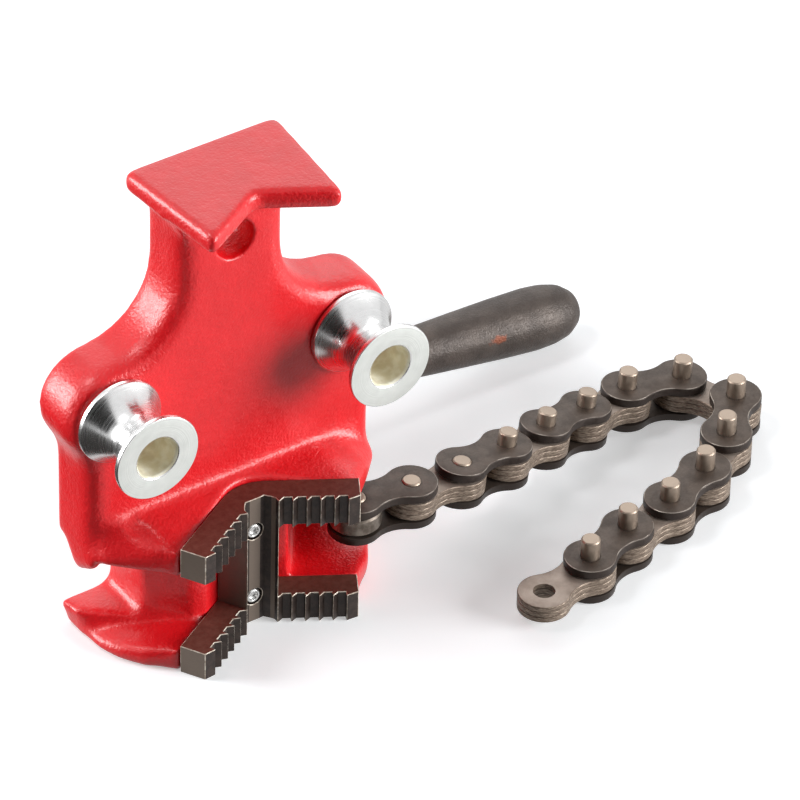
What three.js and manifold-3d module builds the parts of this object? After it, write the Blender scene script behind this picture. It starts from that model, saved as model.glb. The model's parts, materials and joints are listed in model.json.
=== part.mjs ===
// Bottom-screw chain vise for pipe, standing on its jaw end with its chain laid out on the floor.
// A cast base carries a toothed V jaw, two spools and a pipe rest. A leaf chain hangs in the eye of a draw
// screw, and a handle nut behind the base pulls the screw, so that the chain clamps a pipe into the V.
// Units are millimetres. x runs across the base and z up. n runs out of the front face, which is world -Y.
import * as THREE from "three";
import { mergeVertices } from "three/addons/utils/BufferGeometryUtils.js";
import Module from "manifold-3d";

const wasm = await Module();
wasm.setup();

// Shared clearances
const seatGap = 0.3;
const pressGap = 0.15;
const cutOverrun = 1;

// Points closer than this are one point
const weldGap = 1e-4;

// Cast plate: outline seen from the front, and its depth
const plateDepth = 19.5;
const neckHalf = 18.2;
const armpitRadius = 24;
const shoulderRim = 2;
const waistDrawIn = 6.3;
const waistRadius = 20;
const plateEdgeRound = 5;
const reliefRim = 7;
const reliefDepth = 3;

// Pipe rest at the top of the neck, with its V notch
const restAboveSpools = 71.4;
const restThick = 7;
const restHalfBack = 26.3;
const restHalfFront = 22.4;
const restReach = 22.9;
const restCorner = 2.6;
const restEdgeRound = 1.8;
const restFlare = 6.2;

// Bolt holes for the bench: one in the neck, and one through each spool
const boltRadius = 6.5;
const neckBoltBelowRest = 22.8;

// Spools
const spoolHalfSpacing = 40.3;
const spoolHeight = 85.4;
const spoolFlangeRadius = 13.8;
const spoolWaistRadius = 8.6;
const spoolLength = 21.4;
const spoolRim = 1.5;
const spigotRadius = 10;
const spigotLength = 8;

// V jaw: two toothed arms on each side, joined by a toothed spine
const jawHeight = 46.4;
const lowerArmHeight = 9.8;
const upperArmBottom = 36;
const armLength = 36.2;
const armThick = 10;
const armEndThick = 8.3;
const endLand = 3.6;
const toothDepth = 1.8;
const spineToothDepth = 0.9;
const spineEdge = 12;
const spineFlatHalf = 1.9;
const spineFlatReach = 11.5;
const spineRidgeHalf = 4.7;
const spineRidgeReach = 13.1;
const jawBackRound = 8;
const jawSeat = 1.5;
const veeRise = Math.PI / 6;
const armTeeth = 5;

// Each groove of an arm has a steep side, a flat floor and a slanted side, as shares of the tooth pitch
const grooveSteepShare = 0.06;
const grooveSlantShare = 0.38;
// Where the foot of the step beside the spine lies, from the spine's ridge to the last crest
const stepShare = 0.4;

// Screws that hold the jaw, in the flat of the spine
const jawScrewHeadRadius = 2.7;
const jawScrewHeadHeight = 2.2;
const jawScrewShankRadius = 1.6;
const jawScrewGrip = 8;
const jawScrewHeights = [9.3, 34];

// Saddle of the base: shelf behind the upper arms, web, and lobe behind the lower arms
const shelfHeight = 49;
const shelfLipRound = 1.4;
const shelfFall = 5.6;
const saddleHalf = 31.6;
const slotRoof = 35.6;
const slotFloor = 9.2;
const webHalf = 32;
const webCornerReach = 0.2;
const webCheekHalf = 20.9;
const webCheekReach = 9.9;
const webPadHalf = 16.2;
const webFillet = 3.8;
const screwwayHalf = 29.1;
const screwwayMouthHalf = 11.6;
const screwwayMouthReach = 12;
const toeHeight = 0.9;
const toeInset = 0.8;
const lobeEdgeRound = 2.2;
const lobeFlare = 0.7;

// Rows from the flank to the end of the arm. Each has the shares of the waist's half width, of the reach
// at the arm's end, and of the height of the shelf or of the slot's floor. The first row is the bench plane.
const shelfShares = [
  [1, -1, 0.857],
  [1, -0.31, 0.857],
  [0.988, 0.01, 0.796],
  [0.952, 0.2, 0.829],
  [0.803, 0.597, 0.871],
  [0.635, 0.988, 0.89],
];
const lobeFootShares = [
  [0.954, -1, 0.39],
  [0.95, -0.514, 0.35],
  [0.94, -0.103, 0.42],
  [0.892, 0.278, 0.55],
  [0.799, 0.648, 0.7],
  [0.635, 0.988, 0.8],
];
const lobeStepShares = [
  [0.976, -1, 0.54],
  [0.944, -0.484, 0.51],
  [0.809, -0.262, 0.59],
  [0.695, 0.015, 0.76],
  [0.562, 0.267, 0.89],
  [0.43, 0.525, 0.957],
];
const lobeTopShares = [
  [0.992, -1, 1],
  [0.968, -0.576, 1],
  [0.831, -0.303, 1],
  [0.705, 0.036, 1],
  [0.572, 0.288, 1],
  [0.42, 0.489, 1],
];

// Claw that keeps a hooked pin from slipping out of the left slot. Each row has the shares of the plate's
// depth and of the claw's drop.
const clawShares = [
  [-0.77, 0.22],
  [-0.646, 0.57],
  [-0.574, 0.89],
  [-0.441, 1],
  [-0.231, 0.72],
  [0, 0.37],
];
const clawDrop = 8.1;
const clawThick = 3.4;

// Draw screw and the wall of the base that it passes through
const screwInset = 12;
const screwHeight = 22.6;
const screwRadius = 5.6;
const screwTail = 6;
const screwHoleGap = 0.6;
const guideWall = 5;
const eyeReach = 8.6;
const eyeRadius = 8;

// Handle nut and its washer
const washerRadius = 15;
const washerThick = 2.4;
const hubLength = 43;
const hubRadius = 13.2;
const hubFootRadius = 14.4;
const leverBehindFace = 55.5;
const leverLength = 127;
const leverFatRadius = 10.2;
const leverNeckRadius = 6.8;
const leverFloorGap = 0.4;

// Leaf chain
const pitch = 19.05;
const linkEndRadius = 8.3;
const linkWaistHalf = 5.7;
const outerPlateThick = 2.6;
const innerPackThick = 5.6;
const chainSideGap = 0.75;
const leafGroove = 0.35;
const pinRadius = 2.95;
const pinProud = 6.6;
const pinChamfer = 0.45;
const pinHoleGap = 0.45;
const chainFloorGap = 0.1;
const innerLeaves = 3;

// Way that each link points on the floor, in degrees from +x toward n, from the eye to the free end
const linkHeadings = [4.5, -4.3, -9.2, -15.5, -13.4, -11.3, 8.9, 61.3, 135, 146.1, 160.3, 167.9, 161.6, 171];
// How steeply each link runs down to the floor, as a share of the steepest
const linkSlopeShares = [0.25, 0.55, 0.85, 1, 1, 0.8, 0.45, 0.15, 0, 0, 0, 0, 0, 0];

// How far each pin stands above its plate, as a share of the longest
const pinProudShares = [0.08, 0.08, 0.08, 0.66, 0.66, 0.7, 0.88, 0.92, 0.92, 0.97, 0.97, 0.88, 1, 1];

// Facets on round work
const roundSteps = 28;
const smallRoundSteps = 14;
const arcSteps = 6;

const veeTan = Math.tan(veeRise);
const shoulderRadius = spoolFlangeRadius + shoulderRim;
const waistHalf = spoolHalfSpacing + shoulderRadius - waistDrawIn;
const screwOffset = waistHalf - screwInset;
const restHeight = spoolHeight + restAboveSpools;
const neckBoltHeight = restHeight - neckBoltBelowRest;

// Geometry to solid and back
function solid(geometry) {
  geometry.deleteAttribute("normal");
  geometry.deleteAttribute("uv");
  const merged = mergeVertices(geometry, weldGap);
  const vertProperties = new Float32Array(merged.attributes.position.array);
  const triVerts = new Uint32Array(merged.index.array);
  return new wasm.Manifold(new wasm.Mesh({ numProp: 3, vertProperties, triVerts }));
}

function geometryOf(body) {
  const mesh = body.getMesh();
  const geometry = new THREE.BufferGeometry();
  geometry.setAttribute("position", new THREE.BufferAttribute(new Float32Array(mesh.vertProperties), 3));
  geometry.setIndex(new THREE.BufferAttribute(new Uint32Array(mesh.triVerts), 1));
  geometry.computeVertexNormals();
  return geometry;
}

function joined(first, ...rest) {
  return rest.reduce((whole, next) => whole.add(next), first);
}

function cutBy(first, ...rest) {
  return rest.reduce((whole, next) => whole.subtract(next), first);
}

// Outlines are lists of [across, up] points
function shapeOf(outline) {
  return new THREE.Shape(outline.map(([a, b]) => new THREE.Vector2(a, b)));
}

function mirrored(half) {
  const other = half.map(([a, b]) => [-a, b]).reverse();
  return [...half, ...other.filter(([a]) => Math.abs(a) > weldGap)];
}

function arc(centre, radius, from, to, steps = arcSteps) {
  const points = [];
  for (let i = 0; i <= steps; i += 1) {
    const angle = from + ((to - from) * i) / steps;
    points.push([centre[0] + radius * Math.cos(angle), centre[1] + radius * Math.sin(angle)]);
  }
  return points;
}

function withRoundCorners(corners, radius, steps = 3) {
  return corners.flatMap((corner, i) => {
    const at = new THREE.Vector2(...corner);
    const last = corners.at(i - 1);
    const next = corners[(i + 1) % corners.length];
    const before = new THREE.Vector2(...last).sub(at).normalize();
    const after = new THREE.Vector2(...next).sub(at).normalize();
    const curve = new THREE.QuadraticBezierCurve(
      at.clone().addScaledVector(before, radius),
      at,
      at.clone().addScaledVector(after, radius),
    );
    return curve.getPoints(steps).map((p) => [p.x, p.y]);
  });
}

// Bodies that run along n, along z or along x
function alongN(outline, from, to) {
  const geometry = new THREE.ExtrudeGeometry(shapeOf(outline), { depth: to - from, bevelEnabled: false });
  geometry.translate(0, 0, from);
  geometry.rotateX(Math.PI / 2);
  return solid(geometry);
}

function alongZ(outline, from, to, edge = 0) {
  const flipped = outline.map(([x, n]) => [x, -n]);
  const geometry = new THREE.ExtrudeGeometry(shapeOf(flipped), {
    depth: to - from - 2 * edge,
    bevelEnabled: edge > 0,
    bevelThickness: edge,
    bevelSize: edge,
    bevelOffset: -edge,
    bevelSegments: 2,
  });
  geometry.translate(0, 0, from + edge);
  return solid(geometry);
}

function alongX(outline, from, to) {
  const geometry = new THREE.ExtrudeGeometry(shapeOf(outline), { depth: to - from, bevelEnabled: false });
  const turn = new THREE.Matrix4().makeBasis(
    new THREE.Vector3(0, -1, 0),
    new THREE.Vector3(0, 0, 1),
    new THREE.Vector3(-1, 0, 0),
  );
  geometry.applyMatrix4(turn);
  geometry.translate(to, 0, 0);
  return solid(geometry);
}

function rodAlongN(radius, from, to, x, z, steps = roundSteps) {
  const geometry = new THREE.CylinderGeometry(radius, radius, to - from, steps);
  geometry.translate(x, -(from + to) / 2, z);
  return solid(geometry);
}

function rodAlongZ(radius, from, to, x = 0, y = 0, steps = smallRoundSteps) {
  const geometry = new THREE.CylinderGeometry(radius, radius, to - from, steps);
  geometry.rotateX(Math.PI / 2);
  geometry.translate(x, y, (from + to) / 2);
  return solid(geometry);
}

// A turned body on an axis along n, from [radius, n] points that close on themselves or on the axis
function turned(profile, x, z, steps = roundSteps) {
  const points = profile.map(([radius, n]) => new THREE.Vector2(radius, -n));
  const geometry = new THREE.LatheGeometry(points, steps);
  geometry.translate(x, 0, z);
  const body = solid(geometry);
  return body.volume() > 0 ? body : solid(flipped(geometry));
}

function flipped(geometry) {
  const index = geometry.index.array;
  for (let i = 0; i < index.length; i += 3) [index[i], index[i + 1]] = [index[i + 1], index[i]];
  return geometry;
}

// Loops of equal length, joined in order and capped at both ends
function loft(loops) {
  const count = loops[0].length;
  const points = loops.flat();
  const faces = [];
  for (let k = 0; k + 1 < loops.length; k += 1) {
    for (let i = 0; i < count; i += 1) {
      const a = k * count + i;
      const b = k * count + ((i + 1) % count);
      faces.push([a, b, b + count], [a, b + count, a + count]);
    }
  }
  const span = loops.at(-1)[0].clone().sub(loops[0][0]).toArray().map(Math.abs);
  const along = span.indexOf(Math.max(...span));
  const flat = (loop) => loop.map((p) => new THREE.Vector2(...p.toArray().filter((_, i) => i !== along)));
  const last = (loops.length - 1) * count;
  THREE.ShapeUtils.triangulateShape(flat(loops[0]), []).forEach(([a, b, c]) => faces.push([a, b, c]));
  THREE.ShapeUtils.triangulateShape(flat(loops.at(-1)), []).forEach(([a, b, c]) => {
    faces.push([last + a, last + b, last + c]);
  });
  return closedBody(points, faces, count, last);
}

// The caps come from a triangulation that may wind either way, so each is turned to agree with the sides
function closedBody(points, faces, count, last) {
  const edges = new Set();
  const sides = faces.filter((f) => !isCap(f, count, last));
  sides.forEach(([a, b, c]) => [[a, b], [b, c], [c, a]].forEach(([p, q]) => edges.add(`${p},${q}`)));
  const caps = [
    faces.filter((f) => f.every((v) => v < count)),
    faces.filter((f) => f.every((v) => v >= last)),
  ];
  const turnedCaps = caps.flatMap((cap) => {
    const clash = cap.some(([a, b, c]) => [[a, b], [b, c], [c, a]].some(([p, q]) => edges.has(`${p},${q}`)));
    return clash ? cap.map(([a, b, c]) => [a, c, b]) : cap;
  });
  const geometry = new THREE.BufferGeometry().setFromPoints(points);
  geometry.setIndex([...sides, ...turnedCaps].flat());
  const body = solid(geometry);
  return body.volume() > 0 ? body : solid(flipped(geometry));
}

function isCap(face, count, last) {
  return face.every((v) => v < count) || face.every((v) => v >= last);
}

// Finishes
const finishes = {
  paint: { color: 0xe02430, roughness: 0.42, metalness: 0.0 },
  zinc: { color: 0xc9cbc8, roughness: 0.24, metalness: 0.95 },
  jawSteel: { color: 0x43332c, roughness: 0.5, metalness: 0.7 },
  darkIron: { color: 0x4a4340, roughness: 0.62, metalness: 0.4 },
  blackedPlate: { color: 0x57504c, roughness: 0.45, metalness: 0.7 },
  rawLeaf: { color: 0x8a7666, roughness: 0.5, metalness: 0.7 },
  pinSteel: { color: 0x9a8470, roughness: 0.35, metalness: 0.85 },
  screwSteel: { color: 0x7c766f, roughness: 0.4, metalness: 0.85 },
};

function piece(name, body, finish, parent) {
  const mesh = new THREE.Mesh(geometryOf(body), new THREE.MeshStandardMaterial(finishes[finish]));
  mesh.name = name;
  parent.add(mesh);
  return mesh;
}

const vise = new THREE.Group();

// Base casting: plate outline. Every arc takes the inset, so that an inset outline is a true offset.
const shoulder = [spoolHalfSpacing, spoolHeight];

function plateHalf(inset, bottomInset) {
  const round = shoulderRadius - inset;
  const armpit = armpitRadius + inset;
  const armpitX = neckHalf - inset + armpit;
  const armpitZ = shoulder[1] + Math.sqrt((round + armpit) ** 2 - (armpitX - shoulder[0]) ** 2);
  const waist = waistRadius + inset;
  const waistX = waistHalf - inset + waist;
  const waistZ = shoulder[1] - Math.sqrt((round + waist) ** 2 - (waistX - shoulder[0]) ** 2);
  const low = Math.atan2(waistZ - shoulder[1], waistX - shoulder[0]);
  const high = Math.atan2(armpitZ - shoulder[1], armpitX - shoulder[0]);
  const flareZ = restHeight - restThick + restEdgeRound;
  return [
    [waistHalf - inset, slotRoof + bottomInset],
    ...arc([waistX, waistZ], waist, Math.PI, Math.PI + low, 4),
    ...arc(shoulder, round, low, high, 9).slice(1),
    ...arc([armpitX, armpitZ], armpit, high - Math.PI, -Math.PI, 7).slice(1),
    ...arc([neckHalf - inset + restFlare, flareZ - restFlare], restFlare, Math.PI, Math.PI / 2, 4),
  ];
}

const roundSine = Math.SQRT1_2;

function plateLoop(n, inset, bottomInset) {
  return mirrored(plateHalf(inset, bottomInset)).map(([x, z]) => new THREE.Vector3(x, -n, z));
}

const plate = loft([
  plateLoop(-plateDepth, 0, 0),
  plateLoop(-plateEdgeRound, 0, 0),
  plateLoop(-plateEdgeRound * (1 - roundSine), plateEdgeRound * (1 - roundSine), 0),
  plateLoop(0, plateEdgeRound, 0),
]);

// The bench side is relieved inside its rim, and full height again round each bolt hole
const boltPlaces = [
  [0, neckBoltHeight],
  [-spoolHalfSpacing, spoolHeight],
  [spoolHalfSpacing, spoolHeight],
];
const reliefLoops = [-plateDepth - cutOverrun, -plateDepth + reliefDepth].map((n) =>
  mirrored(plateHalf(reliefRim, reliefRim).slice(0, -5)).map(([x, z]) => new THREE.Vector3(x, -n, z)),
);
const benchBosses = boltPlaces.map(([x, z]) =>
  rodAlongN(shoulderRadius, -plateDepth - cutOverrun, -plateDepth + reliefDepth, x, z),
);
const relief = cutBy(loft(reliefLoops), ...benchBosses);

// Pipe rest with its V notch
const notchReach = restReach - restHalfFront * veeTan;
const restPlan = [
  [-restHalfBack, -plateDepth],
  [restHalfBack, -plateDepth],
  [restHalfFront, restReach],
  [0, notchReach],
  [-restHalfFront, restReach],
];

// The same corners after each side has moved inward by the inset
function insetCorners(corners, inset) {
  const sides = corners.map((corner, i) => {
    const next = corners[(i + 1) % corners.length];
    const along = new THREE.Vector2(next[0] - corner[0], next[1] - corner[1]).normalize();
    const inward = new THREE.Vector2(-along.y, along.x);
    return { along, from: new THREE.Vector2(...corner).addScaledVector(inward, inset) };
  });
  return corners.map((_, i) => {
    const before = sides[(i + corners.length - 1) % corners.length];
    const after = sides[i];
    const gap = after.from.clone().sub(before.from);
    const reach = gap.cross(after.along) / before.along.cross(after.along);
    const meet = before.from.clone().addScaledVector(before.along, reach);
    return [meet.x, meet.y];
  });
}

function restLoop(z, inset) {
  const corners = withRoundCorners(insetCorners(restPlan, inset), restCorner);
  return corners.map(([x, n]) => new THREE.Vector3(x, -n, z));
}

function roundedEdgeLoops(makeLoop, low, high, size) {
  return [
    [low, size],
    [low + size * (1 - roundSine), size * (1 - roundSine)],
    [low + size, 0],
    [high - size, 0],
    [high - size * (1 - roundSine), size * (1 - roundSine)],
    [high, size],
  ].map(([z, inset]) => makeLoop(z, inset));
}
const rest = loft(roundedEdgeLoops(restLoop, restHeight - restThick, restHeight, restEdgeRound));

// The jaw's back is a V with a round root, and the base keeps the seat gap behind it
const rootRadius = jawBackRound / veeTan;
const rootCentre = jawSeat + jawBackRound * Math.sin(veeRise) + rootRadius * Math.cos(veeRise);
const rootHalf = jawBackRound * Math.cos(veeRise);

function seatAt(x) {
  const flank = jawSeat + Math.abs(x) * veeTan;
  const root = rootCentre - Math.sqrt(Math.max(0, rootRadius ** 2 - x ** 2));
  return (Math.abs(x) < rootHalf ? root : flank) - seatGap;
}

// Every row list ends with the same rows along the seat, at heights that the caller gives
const seatHalves = [webPadHalf, rootHalf, rootHalf / 2, 0];
const seated = (rows, heightAt) => [...rows, ...seatHalves.map((x) => [x, seatAt(x), heightAt(seatAt(x))])];
const atHeight = (rows, z) => rows.map(([x, n]) => [x, n, z]);
const lowered = (rows, drop) => rows.map(([x, n, z]) => [x, n, z - drop]);
const isFront = (i) => i > 0 && i + 1 < shelfShares.length;
const drawnIn = (rows, size) =>
  rows.map(([x, n, z], i) => (isFront(i) ? [x - size / 2, n - size, z] : [x, n, z]));

const saddleFront = seatAt(saddleHalf);
const rowsOf = (shares, height) =>
  shares.map(([x, n, z], i) => [x * waistHalf, i === 0 ? -plateDepth : n * saddleFront, z * height]);

function rowLoop(rows) {
  return mirrored(rows.map((row, i) => [row[0], i])).map(([x, i]) => {
    const [, n, z] = rows[i];
    return new THREE.Vector3(x, -Math.min(n, seatAt(x)), z);
  });
}

// Shelf behind the upper arms: a front wall, a rounded lip, and a top that climbs to a straight ridge
const ridgeReach = plateEdgeRound / 8;
const shelfTopAt = (n) => shelfHeight - (shelfFall * (n - ridgeReach)) / (saddleFront - ridgeReach);
const shelfSeated = seated(rowsOf(shelfShares, shelfHeight), shelfTopAt);
const ridgeShares = [0.9, 0.9, 0.89, 0.85, 0.7, 0.54, 0.28, 0.13, 0.06, 0];
const shelfRidge = shelfSeated.map(([, n], i) => {
  return [waistHalf * ridgeShares[i], Math.min(n, ridgeReach), shelfHeight];
});
const shelf = loft([
  rowLoop(atHeight(shelfSeated, slotRoof)),
  rowLoop(lowered(shelfSeated, shelfLipRound)),
  rowLoop(drawnIn(shelfSeated, shelfLipRound)),
  rowLoop(shelfRidge),
]);

// Web between the slots, with flat pads behind the spine of the jaw and a fillet on the lobe
const webRows = seated(
  [
    [webHalf, -plateDepth],
    [webHalf, webCornerReach],
    [webCheekHalf, webCheekReach],
  ],
  () => 0,
);
const spread = (rows, size) => rows.map(([x, n, z], i) => [i < 2 ? x + size : x, n, z]);
const web = loft([
  rowLoop(atHeight(webRows, toeHeight)),
  rowLoop(atHeight(webRows, shelfHeight - shelfFall)),
]);
const webFoot = loft([
  rowLoop(spread(atHeight(webRows, slotFloor - cutOverrun), webFillet)),
  rowLoop(spread(atHeight(webRows, slotFloor), webFillet)),
  rowLoop(spread(atHeight(webRows, slotFloor + webFillet * (1 - roundSine)), webFillet * (1 - roundSine))),
  rowLoop(atHeight(webRows, slotFloor + webFillet)),
]);

// Lobe behind the lower arms: flat on top, a small step, and a ramp that falls to a low round wall in front
const lobeSeated = seated(rowsOf(lobeFootShares, slotFloor), () => slotFloor - seatGap);
const toeScale = 1 - toeInset / waistHalf;
const lobeToe = atHeight(lobeSeated, 0).map(([x, n, z]) => [x * toeScale, n * toeScale, z]);
const lobeBend = lobeEdgeRound * (1 - roundSine);
const lobe = loft([
  rowLoop(lobeToe),
  rowLoop(atHeight(lobeSeated, toeHeight)),
  rowLoop(lowered(lobeSeated, lobeEdgeRound)),
  rowLoop(lowered(drawnIn(lobeSeated, lobeBend), lobeBend)),
  rowLoop(drawnIn(lobeSeated, lobeEdgeRound)),
  rowLoop(seated(rowsOf(lobeStepShares, slotFloor), () => slotFloor - seatGap / 2)),
  rowLoop(seated(rowsOf(lobeTopShares, slotFloor), () => slotFloor)),
]);

// The right lobe keeps its full height out to its edge, and flares a little toward the top
function rightLoop(rows, z) {
  const back = new THREE.Vector3(0, plateDepth, z);
  return [...rows.map(([x, n]) => new THREE.Vector3(x, -Math.min(n, seatAt(x)), z)), back];
}
const rightLobe = loft([
  rightLoop(lobeSeated, toeHeight),
  rightLoop(drawnIn(lobeSeated, -lobeFlare), slotFloor - toeInset),
  rightLoop(lobeSeated, slotFloor),
]);

// Claw on the outer edge of the left slot
const clawEdge = clawShares.map(([n, drop]) => [n * plateDepth, slotRoof - drop * clawDrop]);
const clawRoof = slotRoof + cutOverrun;
const clawOutline = [...clawEdge, [clawEdge.at(-1)[0], clawRoof], [clawEdge[0][0], clawRoof]];
const claw = alongX(clawOutline, -waistHalf, clawThick - waistHalf);

// The cut that clears the draw screw slants in across the right side of the web
const screwwayBack = guideWall - plateDepth;
const screwwayOuter = waistHalf + cutOverrun;
const screwway = alongZ(
  [
    [screwwayHalf, screwwayBack],
    [screwwayOuter, screwwayBack],
    [screwwayOuter, screwwayMouthReach],
    [screwwayMouthHalf, screwwayMouthReach],
  ],
  slotFloor,
  slotRoof,
);

// Wall that guides the draw screw, closing the back of the right slot
const guide = alongZ(
  [
    [screwwayHalf - cutOverrun, -plateDepth],
    [waistHalf, -plateDepth],
    [waistHalf, guideWall - plateDepth],
    [screwwayHalf - cutOverrun, guideWall - plateDepth],
  ],
  slotFloor - cutOverrun,
  slotRoof + cutOverrun,
);
const screwHole = rodAlongN(
  screwRadius + screwHoleGap,
  -plateDepth - cutOverrun,
  guideWall - plateDepth + cutOverrun,
  screwOffset,
  screwHeight,
  roundSteps - 4,
);

// Holes for the bench bolts, the spools' spigots and the jaw's screws
const plateBack = -plateDepth - cutOverrun;
const spigotFloor = -spigotLength - seatGap;
const boltHoles = boltPlaces.map(([x, z]) => rodAlongN(boltRadius, plateBack, restReach, x, z));
const spigotHoles = [-spoolHalfSpacing, spoolHalfSpacing].map((x) =>
  rodAlongN(spigotRadius + seatGap, spigotFloor, cutOverrun, x, spoolHeight),
);
const jawScrewTip = jawSeat - jawScrewGrip;
const jawScrewHoles = jawScrewHeights.map((z) =>
  rodAlongN(jawScrewShankRadius + seatGap, jawScrewTip - seatGap, spineFlatReach, 0, z, smallRoundSteps),
);

const saddle = cutBy(joined(shelf, web, webFoot, lobe, rightLobe, claw), screwway);
const base = cutBy(
  joined(plate, rest, saddle, guide),
  relief,
  screwHole,
  ...boltHoles,
  ...spigotHoles,
  ...jawScrewHoles,
);
piece("base_casting", base, "paint", vise);

// V jaw. On the right arm, s runs along the arm from the back of the V and t out from its back face.
function onArm(s, t) {
  return [
    s * Math.cos(veeRise) - t * Math.sin(veeRise),
    jawSeat + s * Math.sin(veeRise) + t * Math.cos(veeRise),
  ];
}

const toothPitch = (armLength - endLand - spineEdge) / armTeeth;

// One groove from its outer crest to its inner one
function groove(outer) {
  const inner = outer - toothPitch;
  return [
    onArm(outer - toothPitch * grooveSteepShare, armThick - toothDepth),
    onArm(inner + toothPitch * grooveSlantShare, armThick - toothDepth),
    onArm(inner, armThick),
  ];
}

const jawHalf = [
  ...arc([0, rootCentre], rootRadius, -Math.PI / 2, veeRise - Math.PI / 2, 2),
  onArm(armLength, 0),
  onArm(armLength, armEndThick),
  onArm(armLength - endLand, armThick),
];
for (let i = 0; i < armTeeth; i += 1) {
  jawHalf.push(...groove(armLength - endLand - i * toothPitch));
}
const lastCrest = new THREE.Vector2(...onArm(spineEdge, armThick));
const stepFoot = new THREE.Vector2(spineRidgeHalf, spineRidgeReach).lerp(lastCrest, stepShare);
const ridgeMiddle = (spineRidgeHalf + spineFlatHalf) / 2;
jawHalf.push(
  [stepFoot.x + spineToothDepth / 2, stepFoot.y],
  [spineRidgeHalf, spineRidgeReach],
  [ridgeMiddle, (spineRidgeReach + spineFlatReach) / 2 - spineToothDepth],
  [spineFlatHalf, spineFlatReach],
);

const jawOutline = mirrored(jawHalf);
const windowOutline = [
  onArm(spineEdge, armThick + cutOverrun),
  onArm(spineEdge, -cutOverrun),
  onArm(armLength + cutOverrun, -cutOverrun),
  onArm(armLength + cutOverrun, armThick + cutOverrun),
];
const jawWindows = [1, -1].map((side) =>
  alongZ(
    windowOutline.map(([x, n]) => [side * x, n]),
    lowerArmHeight,
    upperArmBottom,
  ),
);
const jawScrewSeats = jawScrewHeights.flatMap((z) => [
  rodAlongN(jawScrewShankRadius + seatGap, 0, spineFlatReach, 0, z, smallRoundSteps),
  rodAlongN(
    jawScrewHeadRadius + seatGap,
    spineFlatReach - jawScrewHeadHeight - seatGap,
    spineFlatReach + cutOverrun,
    0,
    z,
    smallRoundSteps,
  ),
]);
piece("v_jaw", cutBy(alongZ(jawOutline, 0, jawHeight), ...jawWindows, ...jawScrewSeats), "jawSteel", vise);

// Jaw screws
["lower", "upper"].forEach((place, i) => {
  const top = spineFlatReach - pressGap;
  const profile = [
    [0, jawScrewTip],
    [jawScrewShankRadius * 0.6, jawScrewTip],
    [jawScrewShankRadius, jawScrewTip + jawScrewShankRadius],
    [jawScrewShankRadius, top - jawScrewHeadHeight],
    [jawScrewHeadRadius, top - jawScrewHeadHeight],
    [jawScrewHeadRadius, top - jawScrewHeadHeight * 0.4],
    [jawScrewHeadRadius * 0.6, top],
    [0, top],
  ];
  piece(`jaw_screw_${place}`, turned(profile, 0, jawScrewHeights[i], smallRoundSteps), "zinc", vise);
});

// Spools: a spigot pressed into the face, and an hourglass between two thin rims, bored for a bench bolt
function spoolProfile() {
  const front = spoolLength + seatGap;
  const middle = seatGap + spoolLength / 2;
  const half = spoolLength / 2 - spoolRim;
  const steps = 6;
  const profile = [
    [boltRadius, -spigotLength],
    [spigotRadius, -spigotLength],
    [spigotRadius, seatGap],
    [spoolFlangeRadius, seatGap],
  ];
  for (let i = 0; i <= 2 * steps; i += 1) {
    const along = i / steps - 1;
    const swell = Math.abs(along) ** 1.8;
    profile.push([
      spoolWaistRadius + (spoolFlangeRadius - spoolWaistRadius) * swell,
      middle + half * along,
    ]);
  }
  profile.push([spoolFlangeRadius, front], [boltRadius, front], [boltRadius, -spigotLength]);
  return profile;
}

[-1, 1].forEach((side) => {
  const name = side < 0 ? "spool_left" : "spool_right";
  piece(name, turned(spoolProfile(), side * spoolHalfSpacing, spoolHeight), "zinc", vise);
});

// Draw screw: a round bar with a flat eye for the first pin of the chain
const screwEnd = -plateDepth - seatGap - washerThick - seatGap - hubLength - screwTail;
const eyeHalfThick = innerPackThick / 2;
const shoulderReach = eyeReach - linkEndRadius - seatGap;
const bar = rodAlongN(screwRadius, screwEnd, shoulderReach, screwOffset, screwHeight, roundSteps - 4);
const eyeNeckHalf = screwRadius * 0.9;
const eyeFlare = Math.asin(0.34);
const eyeFlat = alongZ(
  [
    [screwOffset - eyeNeckHalf, -guideWall],
    [screwOffset + eyeNeckHalf, -guideWall],
    [screwOffset + eyeNeckHalf, shoulderReach + seatGap],
    ...arc([screwOffset, eyeReach], eyeRadius, -eyeFlare, Math.PI + eyeFlare, 12),
    [screwOffset - eyeNeckHalf, shoulderReach + seatGap],
  ],
  screwHeight - eyeHalfThick,
  screwHeight + eyeHalfThick,
);
const eyeHole = rodAlongZ(
  pinRadius + pinHoleGap,
  screwHeight - innerPackThick,
  screwHeight + innerPackThick,
  screwOffset,
  -eyeReach,
);
piece("draw_screw", cutBy(joined(bar, eyeFlat), eyeHole), "screwSteel", vise);

// Thrust washer between the base and the handle nut
const washerBack = -plateDepth - seatGap - washerThick;
piece(
  "thrust_washer",
  turned(
    [
      [screwRadius + screwHoleGap, washerBack],
      [washerRadius, washerBack],
      [washerRadius, washerBack + washerThick],
      [screwRadius + screwHoleGap, washerBack + washerThick],
      [screwRadius + screwHoleGap, washerBack],
    ],
    screwOffset,
    screwHeight,
    roundSteps - 4,
  ),
  "screwSteel",
  vise,
);

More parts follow.
